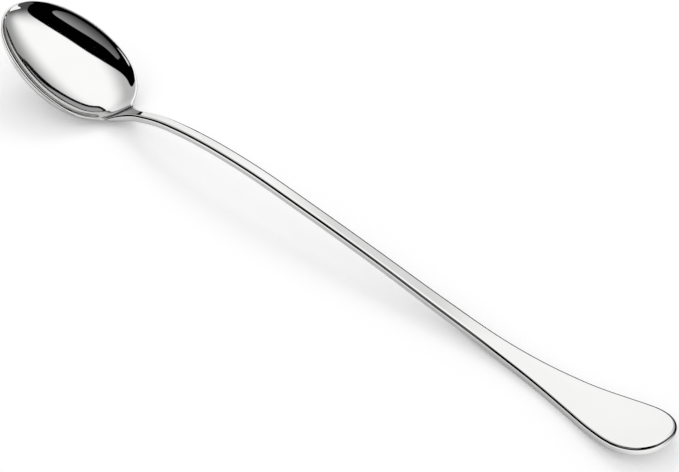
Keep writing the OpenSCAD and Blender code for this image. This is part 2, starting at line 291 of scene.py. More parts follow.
@dataclass(frozen=True)
class SpoonSizes:
    """The spoon's own sizes in millimetres, as in the part's source, and those of its finished edges.

    A share is of the length that its name says, and the tuples give points of a curve as pairs of shares.
    """

    spoon_length: float = 220.6
    bowl_length: float = 42.4
    bowl_width: float = 28.77
    bowl_depth: float = 5.4
    bowl_wall: float = 0.9
    tip_rim_height: float = 2.4
    heel_rim_height: float = 1.1
    rim_width: float = 0.6
    tip_rise: float = 15.5
    rim_bow: float = 0.95
    rim_places: tuple = (0.0, 0.2, 0.4, 0.6, 0.8, 0.92)
    egg_lean: float = -0.143
    egg_swell: float = -0.083
    shell_fullness: float = 2.3
    shell_steepness: float = 0.8
    hollow_fullness: float = 2.0
    hollow_steepness: float = 0.6
    rim_corner: float = 0.012
    heel_corner: float = 0.12
    heel_corner_start: float = 0.72
    heel_fill: float = 0.3
    heel_blend: float = 0.6
    keel_run_out: float = 0.6
    lean_fade: float = 0.6
    neck_width: float = 3.4
    neck_thickness: float = 1.9
    neck_length: float = 8.6
    shoulder_width: float = 4.6
    shoulder_start_share: float = 0.36
    shoulder_end_share: float = 0.42
    shank_width: float = 3.5
    shank_middle: float = 0.45
    shank_thickness: float = 2.05
    slope_fade: float = 12.0
    arch_height: float = 10.5
    arch_place: float = 0.244
    flare_start_width: float = 4.0
    flare_length: float = 54.0
    paddle_width: float = 16.0
    paddle_thickness: float = 2.0
    paddle_dish: float = 0.35
    end_length: float = 8.7
    end_fullness: float = 2.28
    end_lift: float = 2.9
    rest_distance: float = 24.6
    climb: tuple = ((0.05, 0.138), (0.117, 0.281), (0.182, 0.406), (0.267, 0.548), (0.391, 0.726),
                    (0.591, 0.889), (0.844, 0.985))
    drop: tuple = ((0.078, 0.018), (0.259, 0.19), (0.459, 0.433), (0.66, 0.731), (0.84, 0.945))
    lift: tuple = ((0.545, 0.31), (1.0, 1.0))
    flare: tuple = ((0.288, 0.057), (0.535, 0.248), (0.74, 0.551), (0.9, 0.87))
    bottom_edge_radius: float = 0.45
    crown_width: float = 0.55
    crown_drop: float = 0.34
    crown_start: float = 25.0
    round_edge: float = 0.85
    side_evening: float = 0.45
    bowl_clearance: float = 0.01
    rest_clearance: float = 0.004


class SpoonForm:
    """The heights and outlines of the spoon, in millimetres from the rim at the bowl's tip."""

    HEEL_SAMPLES = 401
    UNDRAWN_ROUNDS = 60
    SLOPE_STEP = 0.1

    def __init__(self, sizes: SpoonSizes) -> None:
        """Works out the lines that the surfaces follow, and sets the bowl down on the table.

        Args:
            sizes: The sizes of the spoon.
        """
        self.s = s = sizes
        self.heel_x = s.bowl_length
        self.seat_x = s.bowl_length + s.neck_length
        self.half_length = s.bowl_length / 2
        self.half_width_of_bowl = s.bowl_width / 2
        self.arch_x = self.heel_x + s.arch_place * (s.spoon_length - self.heel_x)
        self.widest_x = s.spoon_length - s.end_length
        self.flare_x = self.widest_x - s.flare_length
        self.rest_x = s.spoon_length - s.rest_distance
        self.lean = s.tip_rise / s.bowl_length
        self.middle_x = self.half_length * (1 + float(self.undrawn(0.0)))
        along = np.linspace(0, self.heel_x, self.HEEL_SAMPLES)
        below_heel = self.shell_depth(along, 0 * along) - self._side_line(0.0)(along)
        self.top = self._side_line(float(below_heel.max()) + s.bowl_clearance)
        self.thickness = SmoothLine([
            (0, s.neck_thickness), (self.seat_x, s.neck_thickness), (self.arch_x, s.shank_thickness),
            (self.flare_x, s.paddle_thickness, 0), (self.rest_x, s.paddle_thickness, 0),
            (s.spoon_length, s.paddle_thickness, 0)])
        self.width = self._width_line()

    def drawn(self, t: Places) -> Places:
        """Gives the place on a circle for a place along the egg, both from -1 at the tip to 1 at the heel."""
        return t + (self.s.egg_lean + self.s.egg_swell * t) * (1 - t * t)

    def undrawn(self, place: Places) -> Places:
        """Gives the place along the egg for a place on the circle, in rounds that each take off what is left over.

        Args:
            place: The place on the circle, from -1 to 1.

        Returns:
            The place along the egg, from -1 to 1.
        """
        t = np.array(place, float)
        for _ in range(self.UNDRAWN_ROUNDS):
            t = t + place - self.drawn(t)
        return t

    def rim_rise(self, share: float) -> float:
        """Gives the height of the rim above the heel: a straight rise with an even bow."""
        return self.s.tip_rise * (1 - share) + 4 * self.s.rim_bow * share * (1 - share)

    def radius(self, x: Places, y: Places, inset: float = 0.0) -> Places:
        """Gives the share of the bowl's radius at which places lie, for a bowl smaller all round by inset."""
        return np.hypot(self.drawn((x - self.half_length) / (self.half_length - inset)),
                        y / (self.half_width_of_bowl - inset))

    def rim_height(self, x: Places) -> Places:
        """Gives the height of the upright edge, lower from tip to heel."""
        return self.s.tip_rim_height + (self.s.heel_rim_height - self.s.tip_rim_height) * x / self.heel_x

    def shell_depth(self, x: Places, y: Places) -> Places:
        """Gives how far the underside of the shell lies below the rim.

        It is the upright edge, and then the rest of the depth times (1 - r^a)^b, with r the share of the radius.

        Args:
            x: The places along the spoon.
            y: The places across it.

        Returns:
            The depths.
        """
        s = self.s
        edge = self.rim_height(x)
        share = np.maximum(0, 1 - np.minimum(1, self.radius(x, y)) ** s.shell_fullness) ** s.shell_steepness
        return edge + (s.bowl_depth + s.bowl_wall - edge) * share

    def hollow_depth(self, x: Places, y: Places) -> Places:
        """Gives the depth of the hollow below the rim.

        It is the bowl's depth times (1 - r^a)^b, where 1 - r^a runs out softly at the rim, as the logarithm of
        one more than its exponent does, and softest towards the heel.

        Args:
            x: The places along the spoon.
            y: The places across it.

        Returns:
            The depths.
        """
        s = self.s
        near_heel = smooth_step((x / self.heel_x - s.heel_corner_start) / (1 - s.heel_corner_start))
        corner = s.rim_corner + (s.heel_corner - s.rim_corner) * near_heel
        left = 1 - self.radius(x, y, s.rim_width) ** s.hollow_fullness
        return s.bowl_depth * (corner * np.logaddexp(0, left / corner)) ** s.hollow_steepness

    def _side_line(self, heel_z: float) -> SmoothLine:
        """Makes the line of the top of the spoon, seen from the side.

        Args:
            heel_z: The height of the bowl's heel above the table.

        Returns:
            The line: rim, climb to the arch, drop to the rest, and lift to the end.
        """
        s = self.s
        knots = [(share * self.heel_x, heel_z + self.rim_rise(share)) for share in s.rim_places]
        run, climb = self.arch_x - self.heel_x, s.arch_height - heel_z
        knots += [(self.heel_x, heel_z + s.heel_fill)]
        knots += [(self.heel_x + p * run, heel_z + q * climb) for p, q in s.climb]
        knots += [(self.arch_x, s.arch_height, 0)]
        run, drop = self.rest_x - self.arch_x, s.arch_height - s.paddle_thickness
        knots += [(self.arch_x + p * run, s.arch_height - q * drop) for p, q in s.drop]
        rest_z = s.paddle_thickness + s.rest_clearance
        knots += [(self.rest_x, rest_z, 0)]
        knots += [(self.rest_x + p * s.rest_distance, rest_z + q * s.end_lift) for p, q in s.lift]
        return SmoothLine(knots, s.side_evening)

    def _width_line(self) -> SmoothLine:
        """Makes the line of half the width of the handle, up to its widest place.

        Returns:
            The line: neck, shank and flare.
        """
        s = self.s
        start = s.flare_start_width / 2
        widening = s.paddle_width / 2 - start
        knots = [(self.seat_x, s.neck_width / 2),
                 (self.seat_x + s.shank_middle * (self.flare_x - self.seat_x), s.shank_width / 2),
                 (self.flare_x, start)]
        knots += [(self.flare_x + p * s.flare_length, start + q * widening) for p, q in s.flare]
        return SmoothLine(knots + [(self.widest_x, s.paddle_width / 2, 0)])

    def upright_thickness(self, x: Places) -> Places:
        """Gives the thickness measured upright: the true thickness times the length of the slope.

        Args:
            x: The places along the spoon.

        Returns:
            The thicknesses. The slope counts for less and less over the last stretch before the rest.
        """
        slope = (self.top(x + self.SLOPE_STEP) - self.top(x - self.SLOPE_STEP)) / (2 * self.SLOPE_STEP)
        fade = np.clip((self.rest_x - x) / self.s.slope_fade, 0, 1)
        return self.thickness(x) * (1 + (np.hypot(1, slope) - 1) * fade)

    def dish(self, x: Places) -> Places:
        """Gives the depth of the dish in the paddle, which deepens in step with the flare's width.

        Args:
            x: The places along the spoon.

        Returns:
            The depths on the middle line.
        """
        start = self.s.flare_start_width / 2
        share = (self.width(np.clip(x, self.flare_x, self.widest_x)) - start) / (self.s.paddle_width / 2 - start)
        return self.s.paddle_dish * share

    def top_height(self, x: Places, y: Places) -> Places:
        """Gives the height of the top of the bowl and neck: the side line less the depth of the hollow."""
        return self.top(x) - self.hollow_depth(x, y)

    def under_height(self, x: Places, y: Places) -> Places:
        """Gives the height of the underside of the bowl and neck: the lower of shell and keel, met softly.

        The keel is the neck's underside, which rises by the square of the way aside and ahead. The two are
        blended by a parabola where they lie closer than a breadth.

        Args:
            x: The places along the spoon.
            y: The places across it.

        Returns:
            The heights.
        """
        s = self.s
        shell = self.top(x) - self.shell_depth(x, y)
        aside = np.maximum(0, np.abs(y) - s.neck_width / 2) / s.shoulder_width
        ahead = np.maximum(0, 1 - x / (s.keel_run_out * s.bowl_length))
        keel = self.top(x) - self.upright_thickness(x) + s.tip_rim_height * (aside * aside + ahead * ahead)
        breadth = s.heel_blend * s.heel_rim_height
        share = np.clip((breadth + keel - shell) / (2 * breadth), 0, 1)
        return keel + (shell - keel) * share - breadth * share * (1 - share)

    def leaning(self, points: np.ndarray) -> np.ndarray:
        """Leans what lies below the rim towards the tip, square to the rim's tilt.

        Each point moves by its depth below the side line times the tilt, which fades to nothing at the seat.

        Args:
            points: The upright points, x, y and z in the last axis.

        Returns:
            The leaning points.
        """
        fade_x = self.s.lean_fade * self.s.bowl_length
        tilt = self.lean * (1 - smooth_step((points[..., 0] - fade_x) / (self.seat_x - fade_x)))
        moved = points.copy()
        moved[..., 0] -= tilt * (self.top(points[..., 0]) - points[..., 2])
        return moved

    def rim_travel(self, angle: np.ndarray) -> np.ndarray:
        """Gives the direction along the rim, from tip to heel: square to the slope of the radius.

        Args:
            angle: Angles from pi at the tip to 0 at the heel.

        Returns:
            Unit directions in plan, one row for each angle.
        """
        t = np.cos(angle)
        s = self.drawn(t)
        slope = 1 + self.s.egg_swell - 2 * self.s.egg_lean * t - 3 * self.s.egg_swell * t * t
        across = np.sqrt(np.maximum(0, 1 - s * s)) / self.half_width_of_bowl
        square = np.stack([s * slope / self.half_length, across], -1)
        square /= np.linalg.norm(square, axis=1, keepdims=True)
        return np.stack([square[:, 1], -square[:, 0]], -1)

    def rim_outline(self, angle: np.ndarray, inset: float = 0.0) -> np.ndarray:
        """Gives places on the rim: a circle drawn out to an egg.

        Args:
            angle: Angles from pi at the tip to 0 at the heel.
            inset: How far inside the rim's outer edge the places lie.

        Returns:
            The places in plan, one row for each angle.
        """
        t = np.cos(angle)
        s = self.drawn(t)
        return np.stack([self.half_length + (self.half_length - inset) * t,
                         (self.half_width_of_bowl - inset) * np.sqrt(np.maximum(0, 1 - s * s))], -1)


@dataclass(frozen=True)
class Finish:
    """A finish by its name, with one shader all over."""

    name: str = "finish"

    def material(self) -> bpy.types.Material:
        """Makes the material.

        Returns:
            The material, with the finish's shader joined to its output.
        """
        made = bpy.data.materials.new(self.name)
        made.use_nodes = True
        kit = NodeKit(made.node_tree)
        kit.node("ShaderNodeOutputMaterial", {}, {"Surface": self.surface(kit)})
        return made

    def surface(self, kit: NodeKit) -> Signal:
        """Gives the shader of the finish."""
        raise NotImplementedError


@dataclass(frozen=True)
class PolishedSteel(Finish):
    """Mirror-polished stainless steel, with the faint unevenness that polishing leaves."""

    name: str = "polished_steel"
    colour: tuple = (0.715, 0.715, 0.712, 1.0)
    shade: tuple = (0.685, 0.684, 0.68, 1.0)
    edge_tint: tuple = (0.72, 0.72, 0.72, 1.0)
    roughness: float = 0.03
    smoothest_share: float = 0.7
    roughness_range: float = 0.6
    drift_scale: float = 90.0
    drift_detail: float = 3.0
    mark_scale: float = 1400.0
    mark_detail: float = 2.0
    mark_strength: float = 0.02
    mark_depth: float = 0.00002

    def surface(self, kit: NodeKit) -> Signal:
        """Makes the shader.

        The colour drifts slightly over a centimetre or so, the roughness varies with it, and a very fine
        bump stands for the marks of the polishing wheel.

        Args:
            kit: The maker of the material's nodes.

        Returns:
            The shader.
        """
        place = kit.node("ShaderNodeTexCoord", output="Object")
        drift = kit.node("ShaderNodeTexNoise", {}, {
            "Vector": place, "Scale": self.drift_scale, "Detail": self.drift_detail})
        marks = kit.node("ShaderNodeTexNoise", {}, {
            "Vector": place, "Scale": self.mark_scale, "Detail": self.mark_detail})
        colour = kit.node("ShaderNodeMix", {"data_type": "RGBA"}, {0: drift, 6: self.shade, 7: self.colour}, 2)
        bump = kit.node("ShaderNodeBump", {}, {
            "Strength": self.mark_strength, "Distance": self.mark_depth, "Height": marks})
        return kit.node("ShaderNodeBsdfPrincipled", {}, {
            "Base Color": colour, "Metallic": 1.0, "Specular Tint": self.edge_tint, "Normal": bump,
            "Roughness": self.roughness * (self.smoothest_share + self.roughness_range * drift)})


@dataclass(frozen=True)
class WhiteTable(Finish):
    """Matt white that the camera sees a little lifted, with the spoon's shadow kept, and that is clear from below.

    The steel mirrors it lifted more, by a painted light that only mirror rays see and that grows away from the spoon,
    left out close round the spoon as painted shade. The two painted shades are boxes of a centre and half sizes,
    and they and their reach are in metres in the frame.
    """

    name: str = "white_table"
    colour: tuple = (0.9, 0.9, 0.9, 1.0)
    lift: float = 0.2
    # painted light: the level of the glow that only mirror rays see, away from the spoon
    painted_glow_in_mirror: float = 0.5
    # painted shade: boxes round the handle and the bowl where the mirrored table gets no glow
    painted_shade_of_handle: tuple = ((0.0, 0.0, 0.0), (0.1, 0.009, 0.0))
    painted_shade_of_bowl: tuple = ((-0.089, 0.0, 0.0), (0.02, 0.017, 0.0))
    painted_shade_reach: float = 0.014

    def surface(self, kit: NodeKit) -> Signal:
        """Makes the shader: matt plus a glow that depends on who looks, or clear on the back; the glow that mirror rays
        see is painted light, left out round the spoon as painted shade.

        Args:
            kit: The maker of the material's nodes.

        Returns:
            The shader.
        """
        seen = kit.node("ShaderNodeLightPath", output="Is Camera Ray")
        in_mirror = kit.node("ShaderNodeLightPath", output="Is Glossy Ray")
        place = kit.node("ShaderNodeTexCoord", output="Object")
        # painted shade: how far a place lies past the boxes round the spoon, where the mirrored glow starts
        past = self._past(kit, place, *self.painted_shade_of_handle).lowest(self._past(kit, place, *self.painted_shade_of_bowl))
        far = kit.node("ShaderNodeMapRange", {"interpolation_type": "SMOOTHSTEP"},
                       {"Value": past, "From Min": 0.0, "From Max": self.painted_shade_reach})
        # the camera's even lift keeps the table white; the glow for mirror rays is painted light that grows away from
        # the spoon
        glow = kit.node("ShaderNodeEmission", {}, {
            "Color": seen * self.lift + in_mirror * (far * self.painted_glow_in_mirror), "Strength": 1.0})
        matt = kit.node("ShaderNodeBsdfDiffuse", {}, {"Color": self.colour})
        table_top = kit.node("ShaderNodeAddShader", {}, {0: matt, 1: glow})
        below = kit.node("ShaderNodeNewGeometry", output="Backfacing")
        clear = kit.node("ShaderNodeBsdfTransparent")
        return kit.node("ShaderNodeMixShader", {}, {0: below, 1: table_top, 2: clear})

    @staticmethod
    def _past(kit: NodeKit, place: Signal, centre: tuple, half: tuple) -> Signal:
        """Gives how far a place on the table lies outside an upright box.

        It is the length of what the offset from the centre has over the half size, along each axis.

        Args:
            kit: The maker of the material's nodes.
            place: The place, in metres.
            centre: The centre of the box.
            half: The half sizes of the box.

        Returns:
            The distance in metres, nought inside the box.
        """
        side = kit.node("ShaderNodeVectorMath", {"operation": "SUBTRACT"}, {0: place, 1: centre})
        side = kit.node("ShaderNodeVectorMath", {"operation": "ABSOLUTE"}, {0: side})
        past = kit.node("ShaderNodeVectorMath", {"operation": "SUBTRACT"}, {0: side, 1: half})
        past = kit.node("ShaderNodeVectorMath", {"operation": "MAXIMUM"}, {0: past, 1: (0, 0, 0)})
        return kit.node("ShaderNodeVectorMath", {"operation": "LENGTH"}, {0: past}, "Value")


@dataclass(frozen=True)
class ToneGlow(Finish):
    """A glow as strong at each point as the mesh's attribute "tone" says. It lights nothing by itself."""

    def material(self) -> bpy.types.Material:
        """Makes the material, which isn't looked for as a lamp.

        Returns:
            The material.
        """
        made = super().material()
        made.cycles.emission_sampling = "NONE"
        return made

    def surface(self, kit: NodeKit) -> Signal:
        """Makes the shader: an emission in the grey of the tone."""
        tone = kit.node("ShaderNodeAttribute", {"attribute_name": "tone"}, {}, "Fac")
        return kit.node("ShaderNodeEmission", {}, {"Color": tone, "Strength": 1.0})


@dataclass(frozen=True)
class SheetGlow(ToneGlow):
    """An even glow that is there only as far as the mesh's attribute "cover" says, and black at level nought."""

    level: float = 0.0
    one_sided: bool = False

    def surface(self, kit: NodeKit) -> Signal:
        """Makes the shader: clear and glow mixed by the cover, and clear from behind if it is one-sided.

        Args:
            kit: The maker of the material's nodes.

        Returns:
            The shader.
        """
        share = kit.node("ShaderNodeAttribute", {"attribute_name": "cover"}, {}, "Fac")
        if self.one_sided:
            share = share * (1 - kit.node("ShaderNodeNewGeometry", output="Backfacing"))
        clear = kit.node("ShaderNodeBsdfTransparent")
        glow = kit.node("ShaderNodeEmission", {}, {"Color": WHITE, "Strength": self.level})
        return kit.node("ShaderNodeMixShader", {}, {0: share, 1: clear, 2: glow})


@dataclass
class SteelPiece:
    """One visible piece of the spoon, which stands for a node of the frame.

    Its surface is made of columns of points, which run from the middle of the top over the edge to the
    middle of the underside. Faces with a sharper angle than sharp_angle between them keep their edge.
    """

    form: SpoonForm
    origin: float
    node: str = ""
    name: str = ""
    edge_rings: int = 8
    wall_rings: int = 4
    sharp_angle: float = 50.0

    def build(self) -> bpy.types.Object:
        """Makes the mesh object and puts it on the body.

        Points that no face uses are left out, and each face is turned round so that it looks outwards.

        Returns:
            The new object.
        """
        points, faces = self.skin()
        used, numbers = np.unique(np.concatenate(faces), return_inverse=True)
        loops = np.split(numbers, np.cumsum([len(face) for face in faces])[:-1])
        placed = (points[used] - np.array([self.origin, 0, 0])) * METRES
        mesh = new_mesh(self.name, placed, [loop[::-1].tolist() for loop in loops])
        mesh.validate()
        mesh.polygons.foreach_set("use_smooth", [True] * len(mesh.polygons))
        mesh.update()
        mesh.set_sharp_from_angle(angle=math.radians(self.sharp_angle))
        piece = put_in_scene(self.name, mesh)
        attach(piece, "root")
        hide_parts(self.node)
        return piece

    def dress(self, piece: bpy.types.Object, finish: bpy.types.Material) -> None:
        """Gives the piece its finish all over."""
        piece.data.materials.append(finish)

    def skin(self) -> tuple:
        """Gives the points and the faces of the piece's closed surface."""
        raise NotImplementedError

    def underside(self, x: np.ndarray, y: np.ndarray) -> np.ndarray:
        """Gives the height of the piece's underside."""
        raise NotImplementedError

    def lower_edge(self, outer: np.ndarray, inward: np.ndarray, start_z: np.ndarray) -> np.ndarray:
        """Gives the upright wall and the lower edge, a quarter circle that runs in under the wall.

        Args:
            outer: The outermost place of each column, in plan.
            inward: The direction into the piece at each column.
            start_z: The height at which each column's wall starts.

        Returns:
            The points, one row for each column, from the top down.
        """
        radius = self.form.s.bottom_edge_radius
        turn = np.arange(0, self.edge_rings + 1) / self.edge_rings * QUARTER_TURN
        foot = outer[:, None, :] + inward[:, None, :] * (radius * (1 - np.cos(turn)))[None, :, None]
        foot_z = self.underside(foot[..., 0], foot[..., 1]) + radius * (1 - np.sin(turn))
        wall_z = start_z + (foot_z[:, :1] - start_z) * shares(self.wall_rings)[None, :-1]
        wall = np.broadcast_to(outer[:, None, :], wall_z.shape + (2,))
        return np.concatenate([raised(wall, wall_z), raised(foot, foot_z)], 1)


@dataclass
class BowlPiece(SteelPiece):
    """The egg-shaped bowl with its shoulders and the root of the neck."""

    node: str = "bowl"
    name: str = "polished_bowl"
    rim_columns: int = 120
    shoulder_columns: int = 36
    seat_columns: int = 6
    hollow_rings: int = 72
    land_rings: int = 14
    land_crowding: float = 1.7
    crown_rings: int = 16
    under_rings: int = 56

    def half_outline(self) -> tuple:
        """Gives outer places, inward directions and inner rim places of half the outline, tip to seat.

        The rim is the drawn-out circle, the shoulder is one cubic curve that leaves the rim along its tangent
        and meets the neck along the spoon, and the seat is straight across.

        Returns:
            Three arrays with one row for each column.
        """
        form, s = self.form, self.form.s
        shoulder_y = s.neck_width / 2 + s.shoulder_width
        start_angle = math.acos(float(form.undrawn(math.sqrt(1 - (shoulder_y / form.half_width_of_bowl) ** 2))))
        angles = math.pi - (math.pi - start_angle) * np.linspace(0, 1, self.rim_columns + 1)
        rim = form.rim_outline(angles)
        along = form.rim_travel(angles)
        seat_end = np.array([form.seat_x, s.neck_width / 2])
        a, b = rim[-1], rim[-1] + along[-1] * s.shoulder_start_share * s.shoulder_width
        c, d = seat_end - [s.shoulder_end_share * (form.seat_x - rim[-1, 0]), 0], seat_end
        t = np.linspace(0, 1, self.shoulder_columns + 1)[:, None]
        shoulder = (1 - t) ** 3 * a + 3 * (1 - t) ** 2 * t * b + 3 * (1 - t) * t ** 2 * c + t ** 3 * d
        pull = (1 - t) ** 2 * (b - a) + 2 * (1 - t) * t * (c - b) + t ** 2 * (d - c)
        pull = pull / np.linalg.norm(pull, axis=1, keepdims=True)
        across = (s.neck_width / 2 - s.round_edge) * (1 - shares(self.seat_columns))
        seat = np.stack([np.full(self.seat_columns, form.seat_x), across], -1)
        outer = np.concatenate([rim, shoulder[1:], seat])
        travel = np.concatenate([along, pull[1:]])
        inward = np.concatenate([np.stack([travel[:, 1], -travel[:, 0]], -1), np.zeros((self.seat_columns, 2))])
        heel_angles = start_angle * (1 - shares(self.shoulder_columns + self.seat_columns))
        inner = form.rim_outline(np.concatenate([angles, heel_angles]), s.rim_width)
        return outer, inward, inner

    def skin(self) -> tuple:
        """Gives the closed surface: both halves' columns in one round, and the middles of hollow and underside.

        Returns:
            The points, and the faces as lists of point numbers.
        """
        form = self.form
        columns = self._columns()
        both = np.concatenate([columns, mirrored(columns[1:-1])])
        hubs = np.array([[form.middle_x, 0, form.top_height(form.middle_x, 0.0)],
                         [form.middle_x, 0, form.under_height(form.middle_x, 0.0)]])
        points = form.leaning(np.concatenate([both.reshape(-1, 3), hubs]))
        return points, self._faces(np.arange(both.shape[0] * both.shape[1]).reshape(both.shape[:2]))

    def underside(self, x: np.ndarray, y: np.ndarray) -> np.ndarray:
        """Gives the height of the bowl's underside."""
        return self.form.under_height(x, y)

    def _columns(self) -> np.ndarray:
        """Gives half the surface: hollow, land, rounded upper edge, wall, lower edge and underside.

        The hollow's rings crowd towards the rim by a sine, the underside's by a cosine, and the land's towards
        the hollow by a power.

        Returns:
            The upright points, one row for each column.
        """
        form, s = self.form, self.form.s
        outer, inward, inner = self.half_outline()
        width, drop, start = self._crown()
        hub = np.broadcast_to(np.array([form.middle_x, 0.0]), outer.shape)
        hollow = between(hub, inner, np.sin(shares(self.hollow_rings) * QUARTER_TURN))
        land = between(inner, outer + inward * width, shares(self.land_rings) ** self.land_crowding)
        upper = np.concatenate([hollow, land], 1)
        turn = start + (QUARTER_TURN - start) * shares(self.crown_rings)[None, :]
        reach = width * (1 - np.sin(turn)) / (1 - np.sin(start))
        brow = outer[:, None, :] + inward[:, None, :] * reach[..., None]
        brow_z = form.top_height(brow[..., 0], brow[..., 1]) - drop * (1 - np.cos(turn) / np.cos(start))
        under = between(hub, outer + inward * s.bottom_edge_radius,
                        np.cos(shares(self.under_rings)[:-1] * QUARTER_TURN))
        return np.concatenate([
            raised(upper, form.top_height(upper[..., 0], upper[..., 1])),
            raised(brow, brow_z),
            self.lower_edge(outer, inward, brow_z[:, -1:]),
            raised(under, self.underside(under[..., 0], under[..., 1]))], 1)

    def _faces(self, number: np.ndarray) -> list:
        """Gives the faces, with one flat face for the seat, and a fan round each of the two middles.

        Args:
            number: The numbers of the points, one row for each column. The two middles follow them.

        Returns:
            The faces as lists of point numbers.
        """
        following = np.roll(number, -1, axis=0)
        top_ring = self.hollow_rings + self.land_rings - 1
        low_ring = top_ring + self.crown_rings + self.wall_rings + self.edge_rings
        first = self.rim_columns + self.shoulder_columns
        last = first + 2 * self.seat_columns
        shown = np.ones((len(number), number.shape[1] - 1), bool)
        shown[first:last, top_ring:low_ring] = False
        faces = squares(number, following)[shown].tolist()
        faces += fan(number.size, number[:, 0], following[:, 0])
        faces += fan(number.size + 1, following[:, -1], number[:, -1])
        seat = np.concatenate([
            number[first, top_ring:low_ring + 1], number[first + 1:last, low_ring],
            number[last, top_ring:low_ring + 1][::-1], number[first + 1:last, top_ring][::-1]])
        return faces + [seat.tolist()]

    def _crown(self) -> tuple:
        """Gives the rounding of the upper edge: part of an oval on the rim, which turns into the neck's quarter circle.

        Returns:
            The width, the drop and the angle at which the oval starts, one row for each column.
        """
        s = self.form.s
        column = np.arange(self.rim_columns + self.shoulder_columns + self.seat_columns + 1)
        share = smooth_step((column - self.rim_columns) / self.shoulder_columns)[:, None]
        return (s.crown_width + (s.round_edge - s.crown_width) * share,
                s.crown_drop + (s.round_edge - s.crown_drop) * share,
                math.radians(s.crown_start) * (1 - share))


@dataclass
class HandlePiece(SteelPiece):
    """The neck, the shank and the paddle, in one run from the seat to the rounded end."""

    node: str = "handle"
    name: str = "polished_handle"
    shank_columns: int = 200
    flare_columns: int = 110
    end_columns: int = 56
    face_rings: int = 10
    edge_rings: int = 16
    wall_rings: int = 3
    slope_step: float = 0.05
    dish_power: float = 1.5

    def half_outline(self) -> tuple:
        """Gives outer places, inward directions and places on the middle line, from the seat to the end.

        The end is a quarter of an oval whose coordinates are powers of the sine and the cosine.

        Returns:
            Three arrays with one row for each column.
        """
        form, s = self.form, self.form.s
        shank = form.seat_x + (form.flare_x - form.seat_x) * np.arange(self.shank_columns) / self.shank_columns
        flare = form.flare_x + s.flare_length * np.arange(self.flare_columns) / self.flare_columns
        x = np.concatenate([shank, flare])
        side = np.stack([x, form.width(x)], -1)
        ahead = form.width(np.minimum(x + self.slope_step, form.widest_x))
        slope = (ahead - form.width(x - self.slope_step)) / (2 * self.slope_step)
        slope[0] = 0
        inward = np.stack([slope, -np.ones_like(x)], -1) / np.hypot(1, slope)[:, None]
        turn = np.linspace(0, QUARTER_TURN, self.end_columns + 1)
        half = s.paddle_width / 2
        end = oval_quarter(s.end_length, half, s.end_fullness, turn) + [form.widest_x, 0]
        square_on = oval_quarter(1 / s.end_length, 1 / half, 2 / (2 - 2 / s.end_fullness), turn)
        facing = -square_on / np.linalg.norm(square_on, axis=1, keepdims=True)
        spine = np.concatenate([np.stack([x, 0 * x], -1), np.tile([form.widest_x, 0.0], (len(turn), 1))])
        return np.concatenate([side, end]), np.concatenate([inward, facing]), spine

    def skin(self) -> tuple:
        """Gives the closed surface: both sides' columns between a ridge and a keel on the middle line.

        The middle line stands still round the end, where the faces beside it have three sides.

        Returns:
            The points, and the faces as lists of point numbers.
        """
        form = self.form
        columns = self._columns()
        both = np.concatenate([columns, mirrored(columns[:-1])])
        along = self.half_outline()[2][:self.shank_columns + self.flare_columns + 1]
        ridge = raised(along, form.top(along[:, 0]) - form.dish(along[:, 0]))
        keel = raised(along, self.underside(along[:, 0], along[:, 1]))
        points = np.concatenate([both.reshape(-1, 3), ridge, keel])
        number = np.arange(both.shape[0] * both.shape[1]).reshape(both.shape[:2])
        back = np.arange(len(number))
        place = np.minimum(np.minimum(back, back[::-1]), len(along) - 1) + number.size
        grid = np.column_stack([place, number, place + len(along)])
        loops = squares(grid[:-1], grid[1:]).reshape(-1, 4)
        still_ridge, still_keel = loops[:, 0] == loops[:, 3], loops[:, 1] == loops[:, 2]
        faces = loops[~(still_ridge | still_keel)].tolist()
        faces += loops[still_ridge][:, :3].tolist() + loops[still_keel][:, [0, 1, 3]].tolist()
        return points, faces + [np.concatenate([grid[-1], number[0][::-1]]).tolist()]

    def underside(self, x: np.ndarray, y: np.ndarray) -> np.ndarray:
        """Gives the height of the handle's underside, which is level across."""
        return self.form.top(x) - self.form.upright_thickness(x)

    def _columns(self) -> np.ndarray:
        """Gives half the surface: face, rounded upper edge, wall, lower edge and sole.

        The dish is deepest on the middle line and falls off as (1 - s^2)^p, with s the share of the way to
        the edge. The upper edge is a quarter circle.

        Returns:
            The points, one row for each column.
        """
        form, s = self.form, self.form.s
        outer, inward, spine = self.half_outline()
        share = shares(self.face_rings)
        face = between(spine, outer + inward * s.round_edge, share)
        face_z = form.top(face[..., 0]) - form.dish(face[..., 0]) * (1 - share[None, :] ** 2) ** self.dish_power
        turn = shares(self.edge_rings) * QUARTER_TURN
        brow = outer[:, None, :] + inward[:, None, :] * (s.round_edge * (1 - np.sin(turn)))[None, :, None]
        brow_z = form.top(brow[..., 0]) - s.round_edge * (1 - np.cos(turn))
        sole = between(spine, outer + inward * s.bottom_edge_radius, (1 - share)[:-1])
        return np.concatenate([
            raised(face, face_z),
            raised(brow, brow_z),
            self.lower_edge(outer, inward, brow_z[:, -1:]),
            raised(sole, self.underside(sole[..., 0], sole[..., 1]))], 1)


def smooth_outline(corners: Sequence[Sequence[float]], steps: int = 8) -> np.ndarray:
    """Gives a closed smooth curve through corners: each span is a cubic of the four corners round it.

    Args:
        corners: The places that the curve passes.
        steps: The number of places for each span.

    Returns:
        The places of the curve, one row each.
    """
    ring = np.array(corners, float)
    t = np.linspace(0, 1, steps, endpoint=False)[:, None, None]
    curve = cubic(*(np.roll(ring, k, axis=0)[None] for k in (1, 0, -1, -2)), t)
    return curve.transpose(1, 0, 2).reshape(-1, 2)


def mirrored_only(thing: bpy.types.Object) -> None:
    """Makes a thing of the studio one that only the steel's reflections see.

    Args:
        thing: The thing, which isn't part of the spoon.
    """
    thing.visible_camera = thing.visible_diffuse = thing.visible_shadow = False
    thing.visible_transmission = thing.visible_volume_scatter = False


